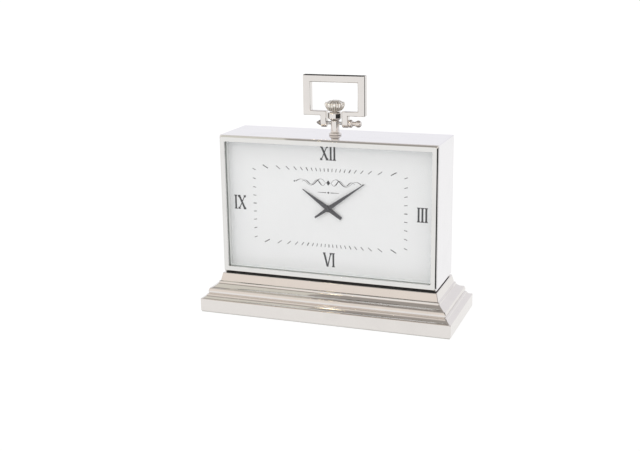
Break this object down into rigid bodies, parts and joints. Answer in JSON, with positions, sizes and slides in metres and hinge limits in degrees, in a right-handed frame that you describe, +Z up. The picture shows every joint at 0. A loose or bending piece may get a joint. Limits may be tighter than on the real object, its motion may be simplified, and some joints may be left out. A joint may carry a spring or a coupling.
{
  "type": "mantel clock",
  "caption": "Mantel clock in a polished nickel box case on a stepped moulded plinth, with a wide rectangular dial, a swinging loop handle and a crown knob.",
  "frame": {"origin": "centre of the footprint, on the surface that the clock stands on", "axes": "+Z up, the dial faces -Y, +X to the right as the dial is read"},
  "size_m": [0.292, 0.113, 0.268],
  "materials": {
    "nickel": "mirror-polished nickel plate",
    "steel": "bright zinc",
    "brass": "machined",
    "copper_wire": "enamelled wire",
    "white_dial": "matt white",
    "glass": "clear",
    "hand_grey": "satin dark grey",
    "black_paint": "satin black",
    "board": "raw fibreboard",
    "felt": "pale grey felt",
    "black_plastic": "fine texture",
    "white_plastic": "natural",
    "circuit": "solder mask",
    "cell_wrap": "printed sleeve",
    "rubber": "matt"
  },
  "bodies": {
    "clock_body": {"plinth_shell": "nickel", "case_shell": "nickel", "front_bezel": "nickel", "finial_post": "nickel", "lock_nut": "nickel", "pin_cap": "nickel", "pivot_pin": "steel", "post_washer": "steel", "post_nut": "steel", "case_bolt_left": "steel", "case_bolt_right": "steel", "case_nut_left": "steel", "case_nut_right": "steel", "back_screw_1": "steel", "back_screw_2": "steel", "back_screw_3": "steel", "back_screw_4": "steel", "stator": "steel", "threaded_bush": "brass", "bush_nut": "brass", "bush_washer": "brass", "contact_positive": "brass", "contact_negative": "brass", "coil": "copper_wire", "dial_plate": "white_dial", "dial_surround": "white_dial", "glass_pane": "glass", "case_spacer": "black_paint", "back_panel": "black_paint", "base_board": "board", "dial_board": "board", "inner_frame": "board", "felt_pad": "felt", "movement_case": "black_plastic", "movement_cover": "black_plastic", "circuit_board": "circuit", "battery": "cell_wrap", "rubber_washer": "rubber"},
    "handle": {"handle": "nickel"},
    "crown": {"crown_knob": "nickel"},
    "thumb": {"thumb_nut": "nickel"},
    "minute": {"minute_arbor": "steel", "minute_hand": "hand_grey", "hand_cap": "hand_grey"},
    "hour": {"hour_wheel": "brass", "hour_hand": "hand_grey"},
    "motion": {"minute_wheel": "white_plastic"},
    "setting": {"setting_knob": "white_plastic"},
    "centre": {"centre_wheel": "brass"},
    "third": {"third_wheel": "white_plastic"},
    "seconds": {"seconds_wheel": "white_plastic"},
    "intermediate": {"intermediate_wheel": "white_plastic"},
    "rotor": {"rotor": "white_plastic"}
  },
  "joints": [
    {"name": "handle_swing", "type": "hinge", "parent": "clock_body", "child": "handle", "pos_m": [0, 0, 0.2155], "axis": [1, 0, 0], "range_deg": [-95, 95]},
    {"name": "crown_turn", "type": "hinge", "parent": "clock_body", "child": "crown", "pos_m": [0, 0, 0.2324], "axis": [0, 0, 1], "range_deg": [0, 720]},
    {"name": "thumb_nut_turn", "type": "hinge", "parent": "clock_body", "child": "thumb", "pos_m": [0.02, 0, 0.2155], "axis": [1, 0, 0], "range_deg": [0, 720]},
    {"name": "minute_turn", "type": "hinge", "parent": "clock_body", "child": "minute", "pos_m": [0, -0.0158, 0.12475], "axis": [0, 1, 0], "continuous": true},
    {"name": "hour_turn", "type": "hinge", "parent": "clock_body", "child": "hour", "pos_m": [0, -0.0158, 0.12475], "axis": [0, 1, 0], "continuous": true},
    {"name": "minute_wheel_turn", "type": "hinge", "parent": "clock_body", "child": "motion", "pos_m": [0.00919, -0.0158, 0.13246], "axis": [0, 1, 0], "continuous": true},
    {"name": "setting_turn", "type": "hinge", "parent": "clock_body", "child": "setting", "pos_m": [0.01519, -0.0158, 0.14286], "axis": [0, 1, 0], "continuous": true},
    {"name": "seconds_turn", "type": "hinge", "parent": "clock_body", "child": "seconds", "pos_m": [-0.01679, -0.0158, 0.13564], "axis": [0, 1, 0], "continuous": true},
    {"name": "third_turn", "type": "hinge", "parent": "clock_body", "child": "third", "pos_m": [-0.00675, -0.0158, 0.13387], "axis": [0, 1, 0], "continuous": true},
    {"name": "centre_turn", "type": "hinge", "parent": "clock_body", "child": "centre", "pos_m": [0, -0.0158, 0.12475], "axis": [0, 1, 0], "continuous": true},
    {"name": "intermediate_turn", "type": "hinge", "parent": "clock_body", "child": "intermediate", "pos_m": [-0.01548, -0.0158, 0.12734], "axis": [0, 1, 0], "continuous": true},
    {"name": "rotor_turn", "type": "hinge", "parent": "clock_body", "child": "rotor", "pos_m": [-0.01375, -0.0158, 0.12091], "axis": [0, 1, 0], "continuous": true}
  ],
  "couplings": [
    {"joint": "minute_wheel_turn", "follows": "minute_turn", "ratio": -0.33333},
    {"joint": "hour_turn", "follows": "minute_turn", "ratio": 0.083333},
    {"joint": "setting_turn", "follows": "minute_turn", "ratio": 1},
    {"joint": "third_turn", "follows": "seconds_turn", "ratio": -0.13333},
    {"joint": "centre_turn", "follows": "seconds_turn", "ratio": 0.016667},
    {"joint": "intermediate_turn", "follows": "seconds_turn", "ratio": -6},
    {"joint": "rotor_turn", "follows": "seconds_turn", "ratio": 30}
  ]
}
